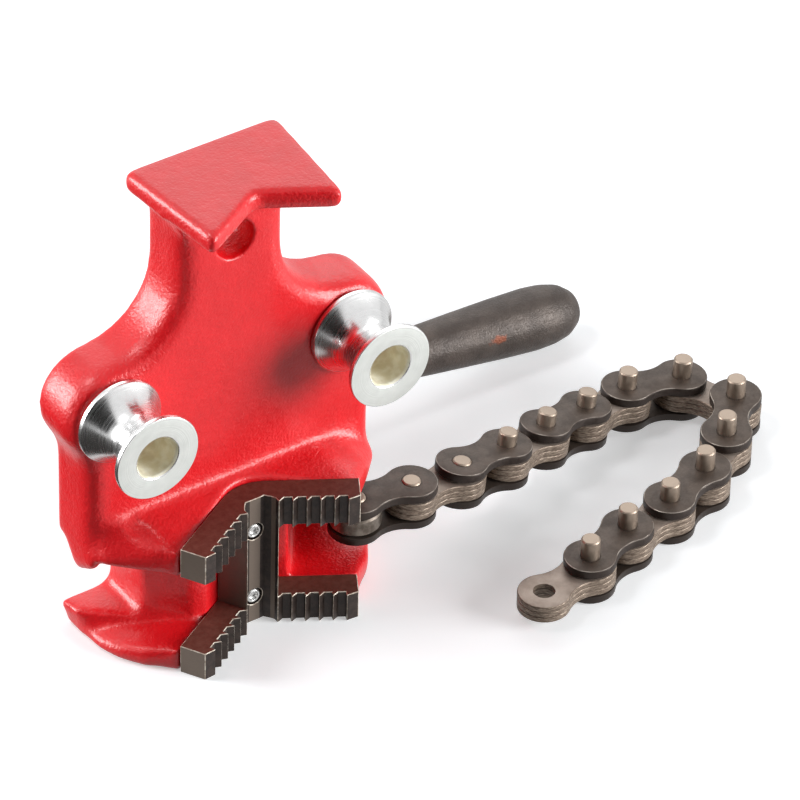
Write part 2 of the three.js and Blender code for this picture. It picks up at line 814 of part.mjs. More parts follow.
// Handle nut: a long hub on the screw, and one drop-shaped lever that leans down to rest on the floor
const hubFront = washerBack - seatGap;
const hubBack = hubFront - hubLength;
const hub = turned(
  [
    [0, hubFront],
    [hubFootRadius, hubFront],
    [hubFootRadius, hubFront - hubLength * 0.08],
    [hubRadius, hubFront - hubLength * 0.2],
    [hubRadius * 0.92, hubFront - hubLength * 0.45],
    [hubRadius, hubFront - hubLength * 0.72],
    [hubRadius, hubBack + hubLength * 0.08],
    [hubRadius * 0.86, hubBack],
    [0, hubBack],
  ],
  screwOffset,
  screwHeight,
);
const leverShares = [
  [0, 0.2],
  [0, 0.02],
  [0.74, 0.06],
  [0.72, 0.14],
  [0.66, 0.22],
  [0.69, 0.34],
  [0.78, 0.5],
  [0.88, 0.64],
  [0.96, 0.76],
  [1, 0.86],
  [0.96, 0.91],
  [0.84, 0.953],
  [0.58, 0.985],
  [0.3, 0.997],
  [0, 1],
];
const leverFatShare = 0.86;
const leverLean = Math.asin((screwHeight - leverFatRadius - leverFloorGap) / (leverLength * leverFatShare));

function leverBody() {
  const points = leverShares.slice(1).map(([r, along]) => {
    const radius = Math.max(r * leverFatRadius, r > 0.6 ? leverNeckRadius : 0);
    return new THREE.Vector2(radius, along * leverLength);
  });
  const geometry = new THREE.LatheGeometry(points, roundSteps - 8);
  geometry.rotateZ(-Math.PI / 2);
  geometry.rotateY(leverLean);
  geometry.translate(screwOffset, leverBehindFace, screwHeight);
  const body = solid(geometry);
  return body.volume() > 0 ? body : solid(flipped(geometry));
}

const nutBore = rodAlongN(
  screwRadius + seatGap,
  hubBack - cutOverrun,
  hubFront + cutOverrun,
  screwOffset,
  screwHeight,
  roundSteps - 4,
);
piece("handle_nut", cutBy(joined(hub, leverBody()), nutBore), "darkIron", vise);

// Leaf chain. A link's own frame has its first pin at the origin and its second at one pitch along x.
function boneOutline(endRadius, waistHalfWidth) {
  const half = pitch / 2;
  const sweep = (half ** 2 + waistHalfWidth ** 2 - endRadius ** 2) / (2 * (endRadius - waistHalfWidth));
  const lean = Math.atan2(waistHalfWidth + sweep, half);
  const endSteps = 9;
  const waistSteps = 3;
  return [
    ...arc([pitch, 0], endRadius, -Math.PI + lean, Math.PI - lean, endSteps),
    ...arc([half, waistHalfWidth + sweep], sweep, -lean, lean - Math.PI, waistSteps).slice(1, -1),
    ...arc([0, 0], endRadius, lean, 2 * Math.PI - lean, endSteps),
    ...arc([half, -waistHalfWidth - sweep], sweep, Math.PI - lean, lean, waistSteps).slice(1, -1),
  ];
}

function boneLoop(inset, z) {
  const outline = boneOutline(linkEndRadius - inset, linkWaistHalf - inset);
  return outline.map(([x, y]) => new THREE.Vector3(x, y, z));
}

function pinHoles(radius, from, to) {
  return [0, pitch].map((x) => rodAlongZ(radius, from - cutOverrun, to + cutOverrun, x, 0, 12));
}

function outerPlate(from) {
  const to = from + outerPlateThick;
  return cutBy(loft([boneLoop(0, from), boneLoop(0, to)]), ...pinHoles(pinRadius + pressGap, from, to));
}

function innerPack() {
  const low = -innerPackThick / 2;
  const leaf = innerPackThick / innerLeaves;
  const loops = [boneLoop(0, low)];
  for (let i = 1; i < innerLeaves; i += 1) {
    const seam = low + i * leaf;
    loops.push(boneLoop(0, seam - leafGroove), boneLoop(leafGroove, seam), boneLoop(0, seam + leafGroove));
  }
  loops.push(boneLoop(0, low + innerPackThick));
  return cutBy(loft(loops), ...pinHoles(pinRadius + pinHoleGap, low, low + innerPackThick));
}

const plateInside = innerPackThick / 2 + chainSideGap;
const chainHalfThick = plateInside + outerPlateThick;

function linkPin(x, proud) {
  const foot = pinChamfer / 2 - chainHalfThick;
  const top = chainHalfThick + proud;
  const points = [
    [0, foot],
    [pinRadius, foot],
    [pinRadius, top - pinChamfer],
    [pinRadius - pinChamfer, top],
    [0, top],
  ].map(([r, z]) => new THREE.Vector2(r, z));
  const geometry = new THREE.LatheGeometry(points, 12);
  geometry.rotateX(Math.PI / 2);
  geometry.translate(x, 0, 0);
  const body = solid(geometry);
  return body.volume() > 0 ? body : solid(flipped(geometry));
}

// The chain runs down from the eye's height until it lies flat on the floor
const fall = screwHeight - chainHalfThick - chainFloorGap;
const slopeSum = linkSlopeShares.reduce((sum, share) => sum + share, 0);
const steepest = fall / (pitch * slopeSum);

const at = new THREE.Vector3(screwOffset, -eyeReach, screwHeight);
linkHeadings.forEach((heading, k) => {
  const turn = THREE.MathUtils.degToRad(-heading);
  const slope = linkSlopeShares[k] * steepest;
  const link = new THREE.Group();
  link.position.copy(at);
  link.rotation.set(0, slope, turn, "ZYX");
  vise.add(link);
  const number = String(Math.floor(k / 2) + 1);
  if (k % 2 === 0) {
    piece(`outer_link_${number}_top_plate`, outerPlate(plateInside), "blackedPlate", link);
    piece(`outer_link_${number}_bottom_plate`, outerPlate(-chainHalfThick), "blackedPlate", link);
    ["near", "far"].forEach((end, i) => {
      const pin = linkPin(i * pitch, pinProud * pinProudShares[k + i]);
      piece(`outer_link_${number}_${end}_pin`, pin, "pinSteel", link);
    });
  } else {
    piece(`inner_link_${number}_leaf_pack`, innerPack(), "rawLeaf", link);
  }
  at.add(new THREE.Vector3(pitch, 0, 0).applyEuler(link.rotation));
});

export default vise;
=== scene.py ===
# Looks of a bottom-screw chain vise for pipe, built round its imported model.
# Sizes are in metres. x runs across the base, -y out of its front face, and z up from its jaw end.
import json
import math

import bmesh
import bpy
from mathutils import Matrix, Vector
from mathutils.bvhtree import BVHTree


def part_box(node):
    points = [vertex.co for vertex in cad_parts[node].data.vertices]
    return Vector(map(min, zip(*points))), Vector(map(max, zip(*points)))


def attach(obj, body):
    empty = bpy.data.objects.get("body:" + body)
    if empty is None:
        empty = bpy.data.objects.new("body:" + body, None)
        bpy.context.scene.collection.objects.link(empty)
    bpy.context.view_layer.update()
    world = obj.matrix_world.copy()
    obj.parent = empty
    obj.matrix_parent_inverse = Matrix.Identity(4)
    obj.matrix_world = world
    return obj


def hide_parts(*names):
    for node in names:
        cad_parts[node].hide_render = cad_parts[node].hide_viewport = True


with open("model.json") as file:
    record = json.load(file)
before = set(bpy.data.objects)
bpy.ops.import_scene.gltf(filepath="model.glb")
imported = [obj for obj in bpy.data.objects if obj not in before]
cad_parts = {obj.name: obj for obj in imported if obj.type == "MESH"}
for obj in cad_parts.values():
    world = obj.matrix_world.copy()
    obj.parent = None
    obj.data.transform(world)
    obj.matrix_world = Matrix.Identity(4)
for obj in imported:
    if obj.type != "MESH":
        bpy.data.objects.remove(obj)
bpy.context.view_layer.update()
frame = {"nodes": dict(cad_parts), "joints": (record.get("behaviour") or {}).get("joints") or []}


# Studio: soft lights low on the right and on the left, a wide one behind and a small one overhead,
# and a long lens that looks down on the vise from its front left.
camera_lens_mm = 308.8
camera_azimuth, camera_elevation, camera_roll = (math.radians(a) for a in (-35.005, 37.669, 1.477))
camera_distance = 2.0537
camera_target = Vector((0.06076, 0.00234, 0.04888))
camera_sight = 20.0


def toward(azimuth, elevation):
    """Unit vector from the object toward something seen at that azimuth and elevation."""
    level = math.cos(elevation)
    return Vector((math.sin(azimuth) * level, -math.cos(azimuth) * level, math.sin(elevation)))


def put_in_scene(name, data):
    made = bpy.data.objects.new(name, data)
    bpy.context.scene.collection.objects.link(made)
    return made


def aimed_at(obj, place, target, roll=0.0):
    """Places a camera or lamp and turns it to face the target."""
    facing_target = (target - place).to_track_quat("-Z", "Y")
    obj.location = place
    obj.rotation_euler = (facing_target @ Matrix.Rotation(roll, 3, "Z").to_quaternion()).to_euler()


camera = put_in_scene("camera", bpy.data.cameras.new("camera"))
camera.data.lens = camera_lens_mm
camera.data.clip_end = camera_sight
aimed_at(
    camera,
    camera_target + toward(camera_azimuth, camera_elevation) * camera_distance,
    camera_target,
    camera_roll,
)
bpy.context.scene.camera = camera
bpy.context.scene.view_settings.view_transform = "Standard"

lamp_target = Vector((0.05, 0.0, 0.05))
lamp_distance = 1.2


def softbox(name, azimuth, elevation, width, height, watts):
    """A rectangular lamp that faces the vise. Its azimuth and elevation are in degrees."""
    lamp = bpy.data.lights.new(name, "AREA")
    lamp.shape = "RECTANGLE"
    lamp.size, lamp.size_y = width, height
    lamp.energy = watts
    place = lamp_target + toward(math.radians(azimuth), math.radians(elevation)) * lamp_distance
    aimed_at(put_in_scene(name, lamp), place, lamp_target)


softbox("right_light", azimuth=42, elevation=13, width=0.7, height=0.7, watts=20)
softbox("left_light", azimuth=-125, elevation=14, width=0.4, height=0.7, watts=14)
softbox("back_light", azimuth=145, elevation=38, width=1.1, height=0.8, watts=3.6)
softbox("overhead_light", azimuth=-125, elevation=62, width=0.3, height=0.3, watts=3)


class Wire:
    """A shader socket that takes plain arithmetic. Each sum adds one Math node."""

    def __init__(self, shader, socket):
        self.shader = shader
        self.socket = socket

    def sum(self, operation, first, second):
        return self.shader.node("Math", {"operation": operation}, {0: first, 1: second})

    def __add__(self, other):
        return self.sum("ADD", self, other)

    def __radd__(self, other):
        return self.sum("ADD", other, self)

    def __sub__(self, other):
        return self.sum("SUBTRACT", self, other)

    def __rsub__(self, other):
        return self.sum("SUBTRACT", other, self)

    def __mul__(self, other):
        return self.sum("MULTIPLY", self, other)

    def __rmul__(self, other):
        return self.sum("MULTIPLY", other, self)


class Shader:
    """The node tree of a material or of the world."""

    def __init__(self, owner):
        owner.use_nodes = True
        self.owner = owner
        self.tree = owner.node_tree
        self.tree.nodes.clear()

    def node(self, kind, settings=None, inputs=None, output=0):
        """Adds a node. Settings are set first, then each input gets its value or link."""
        made = self.tree.nodes.new("ShaderNode" + kind)
        for key, value in (settings or {}).items():
            setattr(made, key, value)
        for key, value in (inputs or {}).items():
            if isinstance(value, Wire):
                self.tree.links.new(value.socket, made.inputs[key])
            else:
                made.inputs[key].default_value = value
        return Wire(self, made.outputs[output]) if made.outputs else made

    def place(self):
        """The point's own place on its piece, in metres."""
        return self.node("TexCoord", output="Object")

    def noise(self, size, detail=2.0, spread=0.5, at=None):
        """Soft blotches of about that size in metres, from 0 to 1."""
        inputs = {"Vector": at or self.place(), "Scale": 1 / size, "Detail": detail, "Roughness": spread}
        return self.node("TexNoise", {}, inputs)

    def fade(self, value, low, high, to_low=0.0, to_high=1.0):
        """Value from low to high, stretched to run from to_low to to_high."""
        inputs = {"Value": value, 1: low, 2: high, 3: to_low, 4: to_high}
        return self.node("MapRange", {"interpolation_type": "SMOOTHSTEP"}, inputs)

    def blend(self, mask, first, second):
        """Colour that is the first where the mask is 0 and the second where it is 1."""
        first, second = ((*c, 1) if isinstance(c, tuple) else c for c in (first, second))
        return self.node("Mix", {"data_type": "RGBA"}, {0: mask, 6: first, 7: second}, output=2)

    def bump(self, height, depth, under=None):
        """Surface normal pushed in and out by the height, depth metres at most."""
        inputs = {"Height": height, "Distance": depth, "Strength": 1.0}
        if under:
            inputs["Normal"] = under
        return self.node("Bump", {}, inputs)

    def surface(self, inputs):
        """Principled surface with these sockets, which ends the material."""
        made = self.node("BsdfPrincipled", {}, inputs)
        self.node("OutputMaterial", {}, {"Surface": made})
        return self.owner


def new_finish(name):
    return Shader(bpy.data.materials.new(name))


# World and sweep of white paper: white to the eye and bright in reflections, while they light the vise
# weakly. Near the vise the paper is lit by the lamps, so that it takes shadows.
ambient_strength = 0.12
world = Shader(bpy.data.worlds.new("studio"))
bpy.context.scene.world = world.owner
white_rays = ("Is Camera Ray", "Is Glossy Ray", "Is Transmission Ray")
seen = [world.node("LightPath", output=ray) for ray in white_rays]
white = world.node("Background", {}, {"Color": (1, 1, 1, 1), "Strength": 1.0})
ambient = world.node("Background", {}, {"Color": (1, 1, 1, 1), "Strength": ambient_strength})
mixed = world.node("MixShader", {}, {0: seen[0] + seen[1] + seen[2], 1: ambient, 2: white})
world.node("OutputWorld", {}, {"Surface": mixed})

sweep_half = 6.0
sweep_drop = 0.0001
sweep_lit_reach, sweep_white_reach = 0.25, 0.8
sweep_corners = [(-1, -1), (1, -1), (1, 1), (-1, 1)]
sweep_points = [(x * sweep_half, y * sweep_half, -sweep_drop) for x, y in sweep_corners]
sweep_mesh = bpy.data.meshes.new("sweep")
sweep_mesh.from_pydata(sweep_points, [], [(0, 1, 2, 3)])
sweep = put_in_scene("sweep", sweep_mesh)
paper = new_finish("white_sweep")
paper_camera, paper_glossy = (paper.node("LightPath", output=ray) for ray in white_rays[:2])
paper_reach = paper.node("VectorMath", {"operation": "LENGTH"}, {0: paper.place()}, output="Value")
paper_far = paper.fade(paper_reach, sweep_lit_reach, sweep_white_reach)
paper_glow = paper.blend(paper_far, (0.38, 0.38, 0.38), (1, 1, 1))
paper_mirrored = paper.blend(paper_glossy, (0, 0, 0), (0.60, 0.60, 0.60))
sweep_mesh.materials.append(
    paper.surface(
        {
            "Base Color": paper.blend(paper_camera, (0.26, 0.26, 0.26), (0.86, 0.885, 0.91)),
            "Roughness": 1.0,
            "Specular IOR Level": 0.0,
            "Emission Color": paper.blend(paper_camera, paper_mirrored, paper_glow),
            "Emission Strength": 1.0,
        }
    )
)


# Black drapes give paint and metal the deep tones between the lights: one hangs behind the camera,
# and two lie on the table, left of the vise and in front of it. Only surfaces that mirror them see them.
hung_azimuth, hung_elevation, hung_distance = math.radians(-56), math.radians(24), 2.4
hung_half_width, hung_half_height = 1.9, 1.3
drape_black = new_finish("black_drape")
drape_surface = drape_black.surface({"Base Color": (0.02, 0.018, 0.016, 1), "Roughness": 1.0})


def drape(name, half_width, half_height, place):
    mesh = bpy.data.meshes.new(name)
    mesh.from_pydata([(x * half_width, y * half_height, 0) for x, y in sweep_corners], [], [(0, 1, 2, 3)])
    mesh.materials.append(drape_surface)
    made = put_in_scene(name, mesh)
    made.location = place
    made.visible_camera = made.visible_shadow = made.visible_diffuse = False
    return made


hung_place = lamp_target + toward(hung_azimuth, hung_elevation) * hung_distance
hung_drape = drape("hung_drape", hung_half_width, hung_half_height, hung_place)
aimed_at(hung_drape, hung_place, lamp_target)
drape("left_drape", half_width=0.19, half_height=0.25, place=(-0.255, -0.03, -sweep_drop / 2))
drape("front_drape", half_width=0.5, half_height=0.3, place=(-0.1, -0.6, -sweep_drop / 2))


# Base casting: grey iron cast in sand, so that every edge and inner corner is round, dipped in red enamel.
# Its model is worn round by a fine remesh, and replaces the faceted node.
casting_grid = 0.0008
casting_wear_rounds = 7
wear_factor = 0.5
weld_distance = 1e-7


def welded_copy(node, name):
    """The node's mesh with its split corners joined, as a new object that stands for it."""
    shape = bmesh.new()
    shape.from_mesh(frame["nodes"][node].data)
    bmesh.ops.remove_doubles(shape, verts=shape.verts, dist=weld_distance)
    mesh = bpy.data.meshes.new(name)
    shape.to_mesh(mesh)
    shape.free()
    return put_in_scene(name, mesh)


def keep_shaped(piece):
    """Turns what the piece's modifiers make into its own mesh."""
    shaped = piece.evaluated_get(bpy.context.evaluated_depsgraph_get())
    piece.data = bpy.data.meshes.new_from_object(shaped)
    piece.modifiers.clear()


def wear(piece, rounds):
    made = piece.modifiers.new("wear", "SMOOTH")
    made.factor = wear_factor
    made.iterations = rounds
    return made


def worn_round(piece, grid, rounds):
    """Remeshes the piece on an even grid and wears its edges round."""
    remesh = piece.modifiers.new("remesh", "REMESH")
    remesh.mode = "VOXEL"
    remesh.voxel_size = grid
    wear(piece, rounds)
    keep_shaped(piece)
    for face in piece.data.polygons:
        face.use_smooth = True


def worn_softer(piece, rounds, softness):
    """Wears the piece further, by the share from 0 to 1 that softness gives for each of its points."""
    group = piece.vertex_groups.new(name="soft")
    for vertex in piece.data.vertices:
        group.add([vertex.index], softness(vertex.co), "REPLACE")
    wear(piece, rounds).vertex_group = group.name
    keep_shaped(piece)


casting = welded_copy("base_casting", "casting")

# A fillet runs under the rest on both sides of the neck, and the remesh melts it in
neck_half = 0.0182
neck_back, neck_front = 0.0192, -0.0005
rest_underside = 0.1506
fillet_root = 0.004
fillet_reach, fillet_drop = 0.0075, 0.0105
fillet_steps = 8


def add_fillet(piece, side):
    """Adds a bar with a hollow face to the mesh, in the corner between the neck and the rest."""
    root = neck_half - fillet_root
    outline = [(root, rest_underside - fillet_drop), (root, rest_underside)]
    for i in range(fillet_steps + 1):
        angle = math.pi / 2 * (1 + i / fillet_steps)
        outline.append(
            (
                neck_half + fillet_reach * (1 + math.cos(angle)),
                rest_underside - fillet_drop * (1 - math.sin(angle)),
            )
        )
    shape = bmesh.new()
    shape.from_mesh(piece.data)
    ends = [[shape.verts.new((side * x, y, z)) for x, z in outline] for y in (neck_front, neck_back)]
    faces = [shape.faces.new(ends[0]), shape.faces.new(ends[1][::-1])]
    count = len(outline)
    for i in range(count):
        following = (i + 1) % count
        faces.append(shape.faces.new((ends[0][following], ends[0][i], ends[1][i], ends[1][following])))
    bmesh.ops.recalc_face_normals(shape, faces=faces)
    shape.to_mesh(piece.data)
    shape.free()


for side in (-1, 1):
    add_fillet(casting, side)
worn_round(casting, casting_grid, casting_wear_rounds)

# The flanks and lobes are softer still, but seats for other pieces and the neck's bolt hole stay true
casting_soft_rounds = 45
seat_near, seat_far = 0.0012, 0.006
hole_place = Vector((0, 0, 0.134))
hole_near, hole_far = 0.0075, 0.011
rest_soft_share = 0.22
rest_start = 0.146
seated = []
for node in ("v_jaw", "spool_left", "spool_right", "draw_screw", "thrust_washer"):
    shape = frame["nodes"][node].data
    seated.append(BVHTree.FromPolygons([v.co for v in shape.vertices], [p.vertices for p in shape.polygons]))


def casting_softness(point):
    away = min(tree.find_nearest(point)[3] for tree in seated)
    share = min(1.0, max(0.0, (away - seat_near) / (seat_far - seat_near)))
    from_hole = math.hypot(point.x - hole_place.x, point.z - hole_place.z)
    share *= min(1.0, max(0.0, (from_hole - hole_near) / (hole_far - hole_near)))
    return share * (rest_soft_share if point.z > rest_start else 1.0)


worn_softer(casting, casting_soft_rounds, casting_softness)

enamel = new_finish("red_enamel")
enamel_red = (0.82, 0.009, 0.015)
enamel_deep = (0.76, 0.007, 0.012)
enamel_tint = enamel.fade(enamel.noise(0.009, 2.0), 0.3, 0.7)
sand_grain = enamel.noise(0.0009, 2.0, 0.6)
sand_lumps = enamel.noise(0.003, 2.0)
enamel_normal = enamel.bump(sand_grain, 0.00022, enamel.bump(sand_lumps, 0.00025))
casting.data.materials.append(
    enamel.surface(
        {
            "Base Color": enamel.blend(enamel_tint, enamel_deep, enamel_red),
            "Roughness": enamel.fade(sand_grain, 0.3, 0.7, 0.3, 0.4),
            "Specular IOR Level": 0.5,
            "Coat Weight": 0.25,
            "Coat Roughness": 0.16,
            "Normal": enamel_normal,
        }
    )
)
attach(casting, "base")
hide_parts("base_casting")


# V jaw: one bar of tool steel with teeth milled across both flanks of the V, hardened and oil-blackened.
# The crests carry a painted highlight, and the cut ends and the narrow flat of the spine are ground.
jaw_crest_width = 0.0002
jaw_sharp_angle = math.radians(28)
flat_angle = math.radians(0.5)
blacked_slot, ground_slot, crest_highlight_slot, lit_level_slot = range(4)
jaw_ground_cosine = 0.99
jaw_arm_lean = math.radians(30)
jaw_spine_half = 0.0021

jaw = welded_copy("v_jaw", "toothed_jaw")


def crisp_edges(piece, width, sharp_angle, slot):
    """Joins flat faces, then breaks each sharp outer edge with a narrow face that takes the slot."""
    shape = bmesh.new()
    shape.from_mesh(piece.data)
    bmesh.ops.dissolve_limit(shape, angle_limit=flat_angle, verts=shape.verts, edges=shape.edges)
    corners = [e for e in shape.edges if len(e.link_faces) == 2 and e.is_convex]
    sharp = [e for e in corners if e.calc_face_angle() > sharp_angle]
    bmesh.ops.bevel(
        shape,
        geom=sharp,
        offset=width,
        segments=1,
        affect="EDGES",
        material=slot,
        clamp_overlap=True,
    )
    shape.to_mesh(piece.data)
    shape.free()


arm_ends = [Vector((side * math.cos(jaw_arm_lean), -math.sin(jaw_arm_lean), 0)) for side in (-1, 1)]
for face in jaw.data.polygons:
    face.use_smooth = False
    is_end = any(face.normal.dot(end) > jaw_ground_cosine for end in arm_ends)
    is_spine = face.normal.y < -jaw_ground_cosine and abs(face.center.x) < jaw_spine_half
    is_level = abs(face.normal.z) > jaw_ground_cosine
    if is_end or is_spine:
        face.material_index = ground_slot
    else:
        face.material_index = lit_level_slot if is_level else blacked_slot
crisp_edges(jaw, jaw_crest_width, jaw_sharp_angle, crest_highlight_slot)

blacked = new_finish("oil_blacked_jaw")
blacked_mottle = blacked.fade(blacked.noise(0.0025, 4.0, 0.6), 0.35, 0.65)
blacked_pits = blacked.noise(0.0005, 3.0, 0.6)
blacked_surface = blacked.surface(
    {
        "Base Color": blacked.blend(blacked_mottle, (0.020, 0.012, 0.009), (0.044, 0.028, 0.022)),
        "Metallic": 0.2,
        "Roughness": blacked.fade(blacked_pits, 0.3, 0.7, 0.4, 0.55),
        "Normal": blacked.bump(blacked_pits, 0.00004),
    }
)

# The level top and bottom faces take a lighter, browner copy of the blackened finish: painted light on the
# faces that look up.
lit_level = new_finish("painted_light_jaw_level")
lit_level_mottle = lit_level.fade(lit_level.noise(0.0022, 4.0, 0.6), 0.3, 0.7)
lit_level_pits = lit_level.noise(0.0006, 3.0, 0.6)
lit_level_surface = lit_level.surface(
    {
        "Base Color": lit_level.blend(lit_level_mottle, (0.12, 0.036, 0.025), (0.165, 0.060, 0.044)),
        "Metallic": 0.0,
        "Specular IOR Level": 0.2,
        "Roughness": lit_level.fade(lit_level_pits, 0.3, 0.7, 0.42, 0.6),
        "Normal": lit_level.bump(lit_level_pits, 0.00004),
    }
)

ground = new_finish("ground_jaw_steel")
ground_lines = ground.node("Mapping", {}, {"Vector": ground.place(), "Scale": (1, 1, 14)})
ground_grain = ground.noise(0.0016, 3.0, 0.6, at=ground_lines)
ground_surface = ground.surface(
    {
        "Base Color": ground.blend(ground_grain, (0.14, 0.105, 0.082), (0.23, 0.185, 0.15)),
        "Metallic": 0.35,
        "Roughness": ground.fade(ground_grain, 0.3, 0.7, 0.38, 0.55),
        "Normal": ground.bump(ground_grain, 0.00003),
    }
)

# Bright colour on the narrow faces along every sharp outer edge of the jaw: a painted highlight on the tooth
# crests.
crest_highlight = new_finish("painted_crest_highlight")
crest_highlight_mottle = crest_highlight.fade(crest_highlight.noise(0.0018, 3.0), 0.4, 0.62)
crest_highlight_surface = crest_highlight.surface(
    {
        "Base Color": crest_highlight.blend(crest_highlight_mottle, (0.42, 0.34, 0.27), (0.82, 0.75, 0.64)),
        "Metallic": 0.2,
        "Roughness": crest_highlight.fade(crest_highlight_mottle, 0, 1, 0.5, 0.3),
    }
)
for finish in (blacked_surface, ground_surface, crest_highlight_surface, lit_level_surface):
    jaw.data.materials.append(finish)
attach(jaw, "base")
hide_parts("v_jaw")


# Jaw screws: two zinc-plated screws sunk in the flat of the spine, which hold the jaw on the saddle.
# Turned on the axis of each node, with a round recess in the head.
jaw_screw_head_radius = 0.0027
jaw_screw_head_height = 0.0022
jaw_screw_shank_radius = 0.0016
jaw_screw_recess_radius = 0.00145
jaw_screw_recess_depth = 0.0011
jaw_screw_rim_width, jaw_screw_rim_depth = 0.0002, 0.0001
jaw_screw_chamfer_width, jaw_screw_chamfer_depth = 0.0006, 0.0008
jaw_screw_tip_length, jaw_screw_tip_share = 0.001, 0.6
jaw_screw_edge = 0.00025
jaw_screw_steps = 48
turning_steps = 72
turned_sharp_angle = math.radians(32)


def turned(name, profile, steps=turning_steps):
    """A body turned on its own y axis, from (radius, place along the axis) pairs."""
    mesh = bpy.data.meshes.new(name)
    points, faces = [], []
    angles = [2 * math.pi * i / steps for i in range(steps)]
    for radius, along in profile:
        ring = [(radius * math.cos(a), along, radius * math.sin(a)) for a in angles]
        points.append(ring if radius > 0 else [(0, along, 0)])
    starts = [sum(len(ring) for ring in points[:i]) for i in range(len(points))]
    for i in range(len(points) - 1):
        here, there = points[i], points[i + 1]
        for k in range(steps):
            a, b = starts[i] + k % len(here), starts[i] + (k + 1) % len(here)
            c, d = starts[i + 1] + (k + 1) % len(there), starts[i + 1] + k % len(there)
            kept = ((a, True), (b, len(here) > 1), (c, True), (d, len(there) > 1))
            corners = [corner for corner, keep in kept if keep]
            if len(set(corners)) > 2:
                faces.append(corners)
    mesh.from_pydata([p for ring in points for p in ring], [], faces)
    mesh.validate()
    shape = bmesh.new()
    shape.from_mesh(mesh)
    bmesh.ops.remove_doubles(shape, verts=shape.verts, dist=weld_distance)
    bmesh.ops.recalc_face_normals(shape, faces=shape.faces)
    shape.to_mesh(mesh)
    shape.free()
    for face in mesh.polygons:
        face.use_smooth = True
    mesh.set_sharp_from_angle(angle=turned_sharp_angle)
    return put_in_scene(name, mesh)


def rounded(corners, size, steps=4):
    """(radius, along) pairs with every corner but the first and last rounded to about that size."""
    out = [corners[0]]
    for before, corner, after in zip(corners, corners[1:], corners[2:]):
        here = Vector(corner)
        into, away = Vector(before) - here, Vector(after) - here
        start = here + into.normalized() * min(size, into.length / 2)
        end = here + away.normalized() * min(size, away.length / 2)
        for i in range(steps + 1):
            t = i / steps
            out.append(tuple((1 - t) ** 2 * start + 2 * t * (1 - t) * here + t**2 * end))
    return [*out, corners[-1]]


zinc = new_finish("clear_zinc")
zinc_cloud = zinc.fade(zinc.noise(0.003, 4.0, 0.6), 0.3, 0.7)
zinc_fine = zinc.noise(0.0004, 2.0)
zinc_surface = zinc.surface(
    {
        "Base Color": zinc.blend(zinc_cloud, (0.66, 0.66, 0.65), (0.80, 0.80, 0.79)),
        "Metallic": 1.0,
        "Roughness": zinc.fade(zinc_fine, 0.3, 0.7, 0.2, 0.3),
        "Normal": zinc.bump(zinc_fine, 0.00001),
    }
)

for place in ("lower", "upper"):
    low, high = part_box(f"jaw_screw_{place}")
    head_top = low.y
    recess_floor = head_top + jaw_screw_recess_depth
    outline = rounded(
        [
            (0, recess_floor),
            (jaw_screw_recess_radius, recess_floor),
            (jaw_screw_recess_radius, head_top + jaw_screw_rim_depth),
            (jaw_screw_recess_radius + jaw_screw_rim_width, head_top),
            (jaw_screw_head_radius - jaw_screw_chamfer_width, head_top),
            (jaw_screw_head_radius, head_top + jaw_screw_chamfer_depth),
            (jaw_screw_head_radius, head_top + jaw_screw_head_height),
            (jaw_screw_shank_radius, head_top + jaw_screw_head_height),
            (jaw_screw_shank_radius, high.y - jaw_screw_tip_length),
            (jaw_screw_shank_radius * jaw_screw_tip_share, high.y),
            (0, high.y),
        ],
        jaw_screw_edge,
    )
    screw = turned(f"jaw_cap_screw_{place}", outline, jaw_screw_steps)
    screw.location = ((low.x + high.x) / 2, 0, (low.z + high.z) / 2)
    screw.data.materials.append(zinc_surface)
    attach(screw, "base")
    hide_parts(f"jaw_screw_{place}")


# Spools: turned from bar, bored for the bench bolt, pressed into the casting by a spigot, and zinc plated.
# The waist is polished, the front ring keeps its facing marks, and the bore is dull and oily.
spool_bore = 0.0065
spool_spigot = 0.010
spool_flange = 0.0138
spool_waist = 0.0086
spool_rim = 0.0015
spool_length = 0.0214
spool_spigot_length = 0.008
spool_seat_gap = 0.0003
spool_chamfer = 0.0008
spool_swell = 1.8
spool_steps = 28
spool_turning_steps = 96
spool_edge = 0.0003
spool_flat_cosine = 0.98
waist_slot, facing_slot, bore_slot = range(3)


def spool_outline():
    front = -(spool_length + spool_seat_gap)
    back = -spool_seat_gap
    middle, half = (front + back) / 2, spool_length / 2 - spool_rim
    hourglass = []
    for i in range(1, spool_steps):
        along = 2 * i / spool_steps - 1
        swell = abs(along) ** spool_swell
        hourglass.append((spool_waist + (spool_flange - spool_waist) * swell, middle + half * along))
    return [
        *rounded(
            [
                (spool_bore, spool_spigot_length),
                (spool_bore, front + spool_chamfer),
                (spool_bore + spool_chamfer, front),
                (spool_flange, front),
                (spool_flange, front + spool_rim),
                hourglass[0],
            ],
            spool_edge,
        ),
        *hourglass[1:-1],
        *rounded(
            [
                hourglass[-1],
                (spool_flange, back - spool_rim),
                (spool_flange, back),
                (spool_spigot, back),
                (spool_spigot, spool_spigot_length),
                (spool_bore, spool_spigot_length),
            ],
            spool_edge,
        ),
    ]


facing = new_finish("faced_zinc")
facing_x, facing_z = (
    facing.node("SeparateXYZ", {}, {"Vector": facing.place()}, output=axis) for axis in "XZ"
)
facing_radius = facing.node("Math", {"operation": "SQRT"}, {0: facing_x * facing_x + facing_z * facing_z})
facing_marks = facing.node(
    "TexNoise", {"noise_dimensions": "1D"}, {"W": facing_radius, "Scale": 2600.0, "Detail": 3.0}
)
facing_cloud = facing.noise(0.003, 3.0)
facing_surface = facing.surface(
    {
        "Base Color": facing.blend(facing_cloud, (0.70, 0.72, 0.69), (0.84, 0.86, 0.83)),
        "Metallic": 1.0,
        "Roughness": facing.fade(facing_marks, 0.3, 0.7, 0.34, 0.5),
        "Normal": facing.bump(facing_marks, 0.00005),
    }
)

